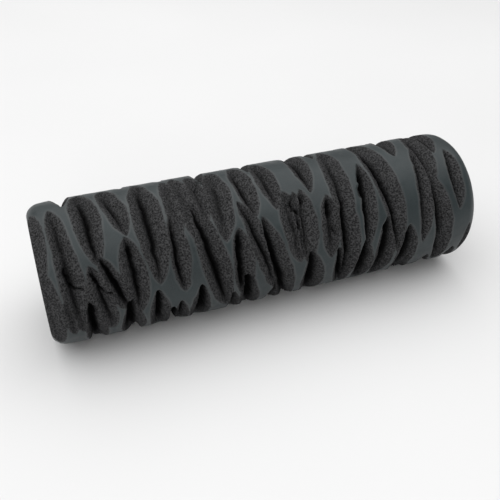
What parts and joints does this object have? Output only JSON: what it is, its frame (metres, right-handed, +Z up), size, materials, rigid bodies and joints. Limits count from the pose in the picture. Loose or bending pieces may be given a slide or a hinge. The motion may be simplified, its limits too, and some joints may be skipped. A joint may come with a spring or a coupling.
{
  "type": "textured pattern roller cover",
  "caption": "Texture roller cover: a black foam sleeve carved all round with leaf-shaped gouges, glued to a plastic core tube that slides onto a roller frame's cage.",
  "frame": {"origin": "centre of the bore, half way along the roller", "axes": "+X along the roller's axis, +Z up with the roller lying on its side, +Y towards its back"},
  "size_m": [0.229, 0.0713, 0.0713],
  "materials": {
    "foam": "closed-cell foam: satin skin, matt where it is cut",
    "adhesive": "cured glue film",
    "core": "extruded plastic, semi-matt"
  },
  "bodies": {
    "root": {"foam_cover": "foam", "adhesive_layer": "adhesive", "core_tube": "core"}
  },
  "joints": []
}
